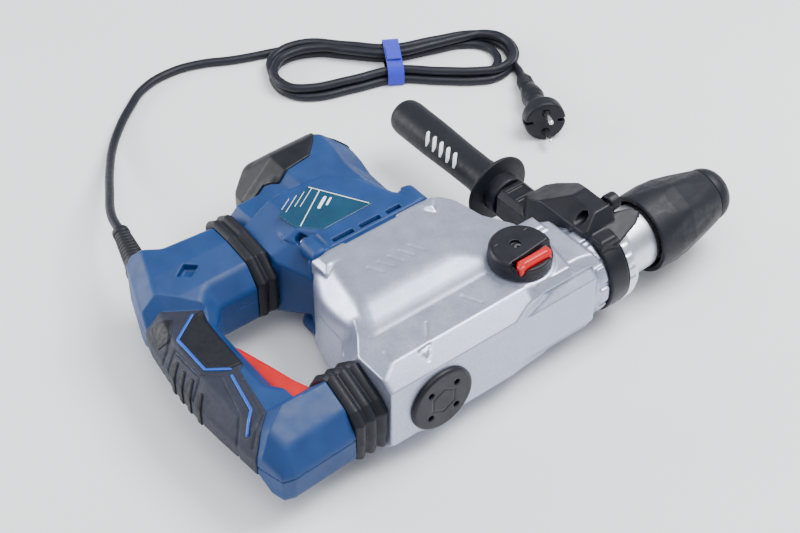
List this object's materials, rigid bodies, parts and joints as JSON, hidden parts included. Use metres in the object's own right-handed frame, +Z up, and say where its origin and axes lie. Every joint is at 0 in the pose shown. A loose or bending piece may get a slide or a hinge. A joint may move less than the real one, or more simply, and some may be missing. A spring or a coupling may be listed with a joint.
{
  "type": "corded rotary hammer",
  "caption": "Corded L-shaped rotary demolition hammer with D-handle, clamped side handle, bit chuck, bundled power cable and flat plug.",
  "frame": {"origin": "Centre of the tool's box without its cord, on the surface that it lies on", "axes": "+X along the barrel towards the chuck, +Y along the motor away from the barrel, +Z up through the mode selector"},
  "size_m": [0.5087, 0.5115, 0.113],
  "materials": {
    "cast_casing": "satin cast and painted silver",
    "flange": "satin cast",
    "blue_shell": "fine matte texture",
    "dark_plastic": "fine matte texture",
    "label": "smooth film without any text",
    "machined_steel": "turned and ground",
    "plated_sleeve": "satin plated",
    "soft_rubber": "matte rubber",
    "grip_skin": "matte soft skin",
    "red_plastic": "semi-gloss",
    "copper_winding": "enamelled copper wire",
    "laminated_core": "stacked sheet steel",
    "brush_brass": "pressed brass",
    "carbon": "pressed carbon",
    "screw_steel": "zinc plated",
    "cable_rubber": "matte rubber sheath",
    "hook_loop": "woven hook-and-loop strap",
    "pin_nickel": "nickel plated"
  },
  "bodies": {
    "hammer": {"gear_housing": "cast_casing", "bearing_plate": "flange", "motor_housing": "blue_shell", "motor_end_cap": "dark_plastic", "label_panel": "label", "grease_cap": "dark_plastic", "barrel_sleeve": "plated_sleeve", "collar_ring": "cast_casing", "stator_core": "laminated_core", "field_coils": "copper_winding", "brush_holders": "brush_brass", "carbon_brushes": "carbon", "ball_bearings": "machined_steel", "spindle_bearings": "machined_steel", "motor_screws": "screw_steel", "guide_rods": "machined_steel", "top_bellows": "soft_rubber", "bottom_bellows": "soft_rubber", "damper_springs": "screw_steel"},
    "spindle": {"spindle_tube": "machined_steel", "bevel_gear": "machined_steel", "tool_holder": "machined_steel", "locking_rollers": "machined_steel", "chuck_spring": "screw_steel", "chuck_cap": "soft_rubber"},
    "locking_sleeve": {"chuck_sleeve": "dark_plastic"},
    "armature": {"armature_shaft": "machined_steel", "armature_core": "laminated_core", "commutator": "copper_winding", "cooling_fan": "dark_plastic"},
    "crank": {"crank_shaft": "machined_steel", "crank_gear": "machined_steel"},
    "intermediate": {"intermediate_shaft": "machined_steel", "intermediate_gear": "machined_steel", "bevel_pinion": "machined_steel"},
    "piston_unit": {"piston": "machined_steel", "wrist_pin": "machined_steel"},
    "rod": {"connecting_rod": "machined_steel"},
    "flying_striker": {"striker": "machined_steel"},
    "anvil": {"beat_piece": "machined_steel"},
    "selector": {"mode_selector": "dark_plastic", "selector_screw": "screw_steel"},
    "selector_lock": {"lock_button": "red_plastic"},
    "rear_handle": {"handle_upper_shell": "blue_shell", "handle_lower_shell": "blue_shell", "grip_overmould": "grip_skin", "switch_module": "dark_plastic", "handle_screws": "screw_steel", "trigger_spring": "screw_steel", "strain_relief": "soft_rubber", "power_cable": "cable_rubber", "cable_hank": "cable_rubber", "cable_tie": "hook_loop", "plug_cable": "cable_rubber", "mains_plug": "soft_rubber", "plug_pins": "pin_nickel"},
    "trigger_lever": {"trigger": "red_plastic"},
    "side_handle": {"handle_clamp": "dark_plastic", "clamp_bolt": "screw_steel"},
    "side_handle_grip": {"side_grip": "dark_plastic"}
  },
  "joints": [
    {"name": "spindle_spin", "type": "hinge", "parent": "hammer", "child": "spindle", "pos_m": [0.08775, -0.1035, 0.05], "axis": [1, 0, 0], "continuous": true},
    {"name": "armature_spin", "type": "hinge", "parent": "hammer", "child": "armature", "pos_m": [-0.03225, 0.0465, 0.05], "axis": [0, 1, 0], "continuous": true},
    {"name": "crank_spin", "type": "hinge", "parent": "hammer", "child": "crank", "pos_m": [-0.06975, -0.0535, 0.05], "axis": [0, 1, 0], "continuous": true},
    {"name": "intermediate_spin", "type": "hinge", "parent": "hammer", "child": "intermediate", "pos_m": [-0.00225, -0.0435, 0.05], "axis": [0, 1, 0], "continuous": true},
    {"name": "piston_slide", "type": "slide", "parent": "hammer", "child": "piston_unit", "axis": [1, 0, 0], "range_m": [-0.026, 0]},
    {"name": "rod_swing", "type": "hinge", "parent": "piston_unit", "child": "rod", "pos_m": [0.01325, -0.1035, 0.05], "axis": [0, 1, 0], "range_deg": [-10.7, 10.7]},
    {"name": "striker_slide", "type": "slide", "parent": "spindle", "child": "flying_striker", "axis": [1, 0, 0], "range_m": [0, 0.015]},
    {"name": "beat_piece_slide", "type": "slide", "parent": "spindle", "child": "anvil", "axis": [1, 0, 0], "range_m": [-0.005, 0]},
    {"name": "chuck_sleeve_slide", "type": "slide", "parent": "spindle", "child": "locking_sleeve", "axis": [-1, 0, 0], "range_m": [0, 0.008], "stiffness_N_per_m": 1500, "deforming": ["chuck_spring"]},
    {"name": "handle_slide", "type": "slide", "parent": "hammer", "child": "rear_handle", "axis": [1, 0, 0], "range_m": [0, 0.006], "stiffness_N_per_m": 9000, "deforming": ["top_bellows", "bottom_bellows", "damper_springs"]},
    {"name": "trigger_pivot", "type": "hinge", "parent": "rear_handle", "child": "trigger_lever", "pos_m": [-0.18325, -0.0055, 0.05], "axis": [0, 0, -1], "range_deg": [0, 6], "stiffness_Nm_per_rad": 1.5, "deforming": ["trigger_spring"]},
    {"name": "selector_turn", "type": "hinge", "parent": "hammer", "child": "selector", "pos_m": [0.02175, -0.102, 0.094], "axis": [0, 0, 1], "range_deg": [-90, 90]},
    {"name": "lock_button_press", "type": "slide", "parent": "selector", "child": "selector_lock", "axis": [0, 0, -1], "range_m": [0, 0.002], "stiffness_N_per_m": 400},
    {"name": "side_handle_turn", "type": "hinge", "parent": "hammer", "child": "side_handle", "pos_m": [0.09675, -0.1035, 0.05], "axis": [1, 0, 0], "continuous": true},
    {"name": "side_grip_turn", "type": "hinge", "parent": "side_handle", "child": "side_handle_grip", "pos_m": [0.09675, 0.0165, 0.05], "axis": [0, 1, 0], "continuous": true}
  ],
  "couplings": [
    {"joint": "armature_spin", "follows": "spindle_spin", "ratio": 15.6},
    {"joint": "crank_spin", "follows": "spindle_spin", "ratio": -2.7529},
    {"joint": "intermediate_spin", "follows": "spindle_spin", "ratio": -3.6}
  ]
}
